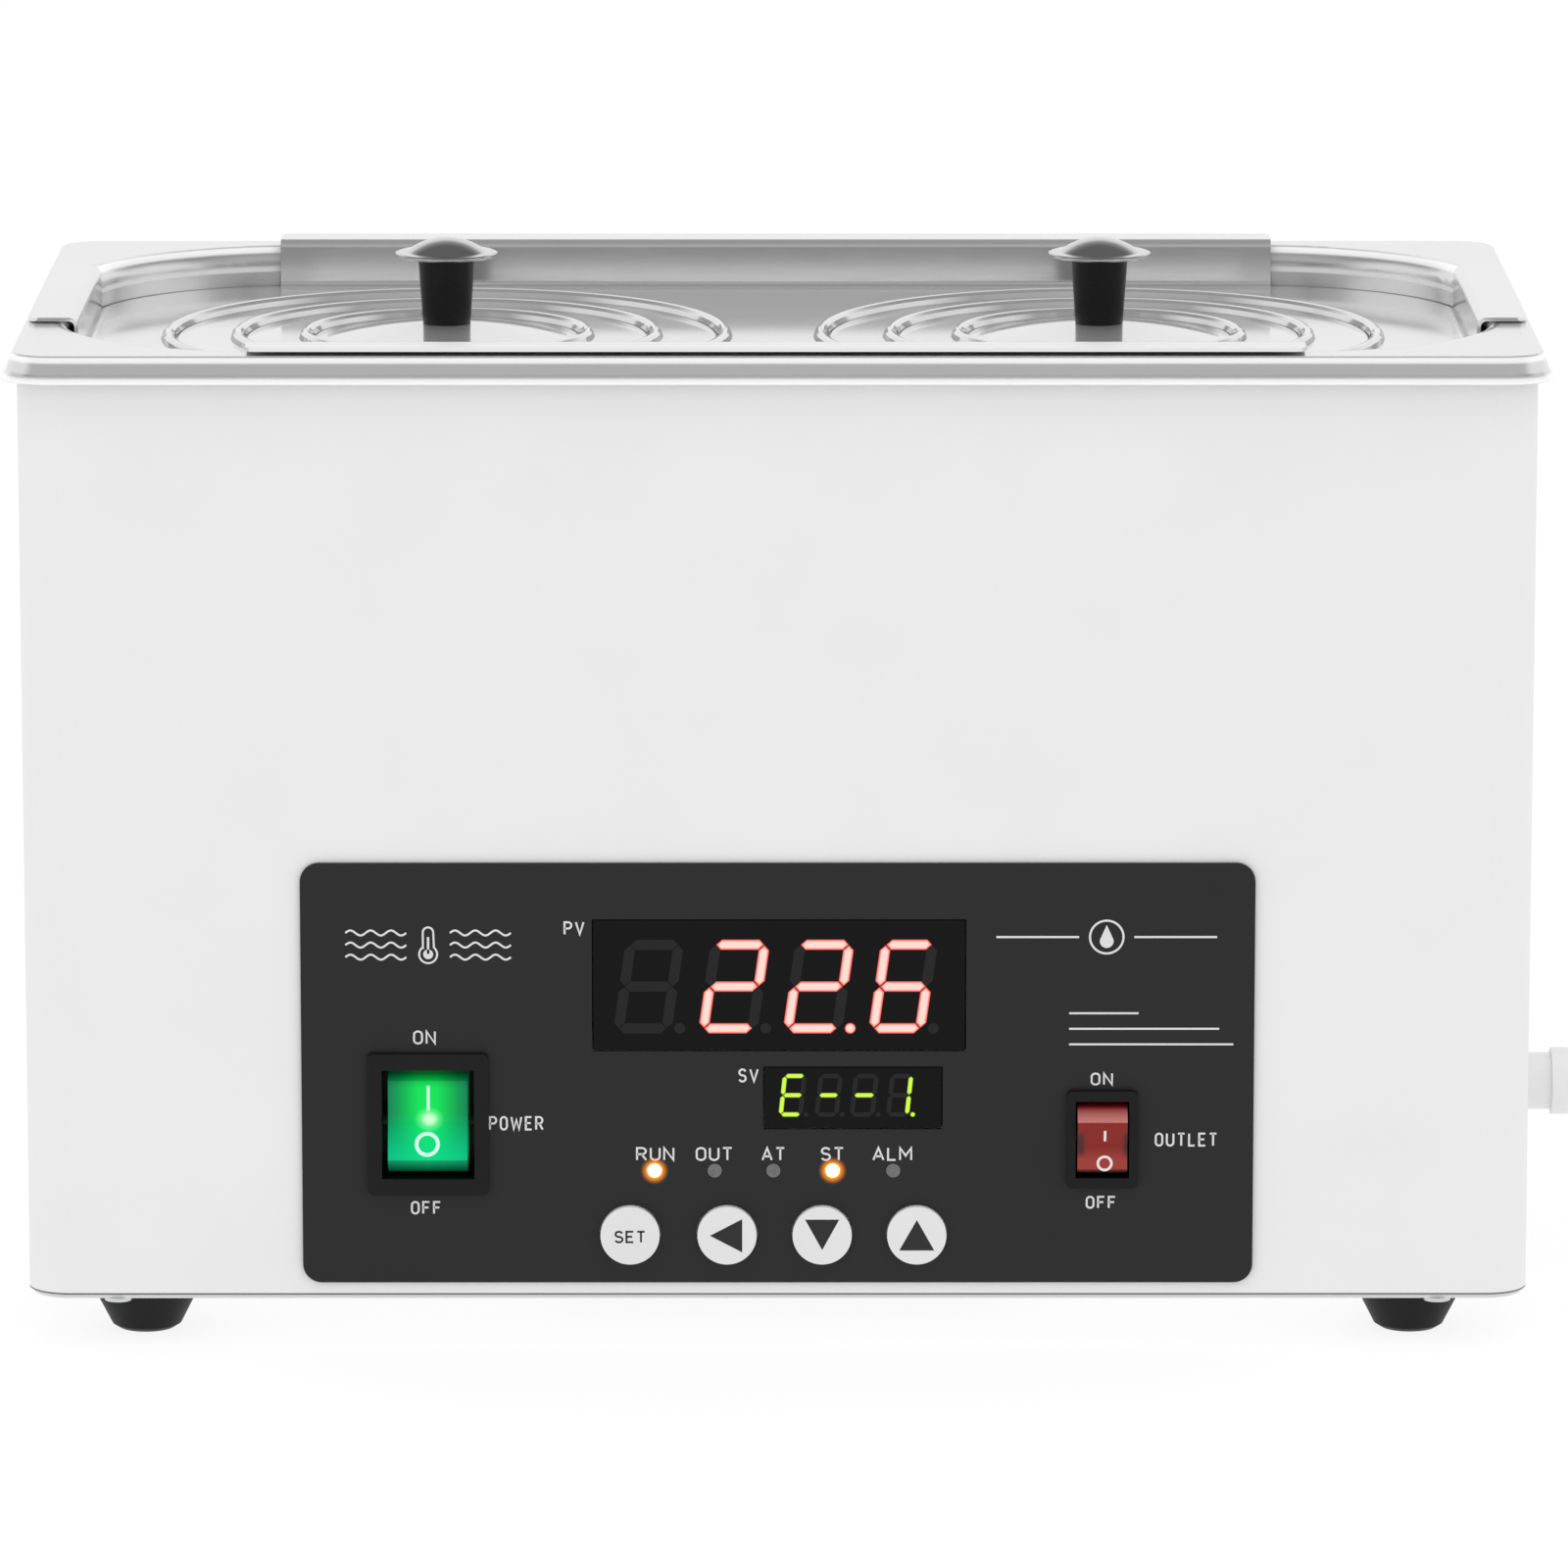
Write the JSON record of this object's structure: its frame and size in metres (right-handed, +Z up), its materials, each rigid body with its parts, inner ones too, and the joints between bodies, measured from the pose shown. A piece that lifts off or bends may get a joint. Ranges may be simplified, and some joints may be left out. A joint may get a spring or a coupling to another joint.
{
  "type": "laboratory water bath",
  "caption": "Bench-top thermostatic water bath: steel tank in a white case, ring-set covers with knobs, front controller with displays and rocker switches, side drain.",
  "frame": {"origin": "on the bench under the middle of the whole outline, spout included", "axes": "+Z up, +X to the drain side (the operator's right), the front panel faces -Y"},
  "size_m": [0.35, 0.178, 0.2249],
  "materials": {
    "case_paint": "white powder coat, fine orange peel",
    "base_paint": "white powder coat, as the case",
    "foot_rubber": "matt",
    "zinc_hardware": "zinc plated",
    "tank_steel": "satin stainless steel",
    "gasket_rubber": "foam rubber",
    "jacket_felt": "ceramic felt",
    "heater_sheath": "annealed stainless sheath",
    "brass_fitting": "turned",
    "probe_steel": "polished",
    "cutout_ceramic": "unglazed",
    "fitting_plastic": "moulded",
    "spout_plastic": "moulded white",
    "hose_silicone": "silicone, milky",
    "coil_plastic": "moulded",
    "panel_film": "dark grey printed film, fine texture",
    "display_face": "black with a smoked front",
    "lamp_lens": "water-clear lens",
    "board_green": "solder mask",
    "key_black": "moulded",
    "switch_black": "moulded nylon",
    "terminal_tin": "tin plated",
    "relay_plastic": "moulded",
    "sink_aluminium": "extruded",
    "block_plastic": "moulded",
    "inlet_plastic": "moulded",
    "wire_red": "silicone insulation",
    "cover_steel": "polished stainless sheet",
    "ring_steel": "polished stainless sheet",
    "lid_steel": "polished stainless sheet",
    "knob_plastic": "black phenolic",
    "cap_steel": "polished",
    "shelf_steel": "satin",
    "rocker_green": "translucent, lit from inside",
    "rocker_red": "translucent",
    "button_white": "printed",
    "drawer_plastic": "moulded",
    "fuse_glass": "clear"
  },
  "bodies": {
    "cabinet": {"outer_case": "case_paint", "base_plate": "base_paint", "foot_front_left": "foot_rubber", "foot_front_right": "foot_rubber", "foot_back_left": "foot_rubber", "foot_back_right": "foot_rubber", "foot_studs": "zinc_hardware", "base_screws": "zinc_hardware", "tank": "tank_steel", "rim_gasket": "gasket_rubber", "tank_jacket": "jacket_felt", "heater_tube": "heater_sheath", "floor_glands": "brass_fitting", "temperature_probe": "probe_steel", "thermal_cutout": "cutout_ceramic", "drain_fitting": "fitting_plastic", "drain_nuts": "fitting_plastic", "drain_hose_upper": "hose_silicone", "drain_valve": "brass_fitting", "valve_coil": "coil_plastic", "drain_hose_lower": "hose_silicone", "drain_spout": "spout_plastic", "fascia_panel": "panel_film", "pv_display": "display_face", "sv_display": "display_face", "indicator_lamps": "lamp_lens", "controller_board": "board_green", "board_standoffs": "zinc_hardware", "key_switches": "key_black", "power_switch_housing": "switch_black", "outlet_switch_housing": "switch_black", "switch_terminals": "terminal_tin", "supply_board": "board_green", "solid_state_relay": "relay_plastic", "heat_sink": "sink_aluminium", "terminal_block": "block_plastic", "power_inlet": "inlet_plastic", "inlet_pins": "terminal_tin", "inlet_screws": "zinc_hardware", "wiring_loom": "wire_red"},
    "cover": {"cover_plate": "cover_steel"},
    "outer_ring_left": {"outer_ring_left": "ring_steel"},
    "inner_ring_left": {"inner_ring_left": "ring_steel"},
    "lid_left": {"centre_lid_left": "lid_steel", "knob_left": "knob_plastic", "knob_cap_left": "cap_steel"},
    "outer_ring_right": {"outer_ring_right": "ring_steel"},
    "inner_ring_right": {"inner_ring_right": "ring_steel"},
    "lid_right": {"centre_lid_right": "lid_steel", "knob_right": "knob_plastic", "knob_cap_right": "cap_steel"},
    "shelf": {"shelf": "shelf_steel"},
    "power_rocker": {"power_rocker": "rocker_green"},
    "outlet_rocker": {"outlet_rocker": "rocker_red"},
    "set_button": {"set_button": "button_white"},
    "shift_button": {"shift_button": "button_white"},
    "down_button": {"down_button": "button_white"},
    "up_button": {"up_button": "button_white"},
    "fuse_drawer": {"fuse_drawer": "drawer_plastic", "fuse": "fuse_glass"}
  },
  "joints": [
    {"name": "cover_lift", "type": "slide", "parent": "cabinet", "child": "cover", "axis": [0, 0, 1], "range_m": [0, 0.08]},
    {"name": "outer_ring_left_lift", "type": "slide", "parent": "cover", "child": "outer_ring_left", "axis": [0, 0, 1], "range_m": [0, 0.05]},
    {"name": "inner_ring_left_lift", "type": "slide", "parent": "outer_ring_left", "child": "inner_ring_left", "axis": [0, 0, 1], "range_m": [0, 0.05]},
    {"name": "lid_left_lift", "type": "slide", "parent": "inner_ring_left", "child": "lid_left", "axis": [0, 0, 1], "range_m": [0, 0.05]},
    {"name": "outer_ring_right_lift", "type": "slide", "parent": "cover", "child": "outer_ring_right", "axis": [0, 0, 1], "range_m": [0, 0.05]},
    {"name": "inner_ring_right_lift", "type": "slide", "parent": "outer_ring_right", "child": "inner_ring_right", "axis": [0, 0, 1], "range_m": [0, 0.05]},
    {"name": "lid_right_lift", "type": "slide", "parent": "inner_ring_right", "child": "lid_right", "axis": [0, 0, 1], "range_m": [0, 0.05]},
    {"name": "shelf_lift", "type": "slide", "parent": "cabinet", "child": "shelf", "axis": [0, 0, 1], "range_m": [0, 0.05]},
    {"name": "power_rocker_tilt", "type": "hinge", "parent": "cabinet", "child": "power_rocker", "pos_m": [-0.08625, -0.08041, 0.0484], "axis": [1, 0, 0], "range_deg": [0, 20]},
    {"name": "outlet_rocker_tilt", "type": "hinge", "parent": "cabinet", "child": "outlet_rocker", "pos_m": [0.056, -0.0808, 0.0451], "axis": [1, 0, 0], "range_deg": [-20, 0]},
    {"name": "set_press", "type": "slide", "parent": "cabinet", "child": "set_button", "axis": [0, 1, 0], "range_m": [0, 0.0008], "stiffness_N_per_m": 500},
    {"name": "shift_press", "type": "slide", "parent": "cabinet", "child": "shift_button", "axis": [0, 1, 0], "range_m": [0, 0.0008], "stiffness_N_per_m": 500},
    {"name": "down_press", "type": "slide", "parent": "cabinet", "child": "down_button", "axis": [0, 1, 0], "range_m": [0, 0.0008], "stiffness_N_per_m": 500},
    {"name": "up_press", "type": "slide", "parent": "cabinet", "child": "up_button", "axis": [0, 1, 0], "range_m": [0, 0.0008], "stiffness_N_per_m": 500},
    {"name": "fuse_drawer_pull", "type": "slide", "parent": "cabinet", "child": "fuse_drawer", "axis": [0, 1, 0], "range_m": [0, 0.015]}
  ]
}
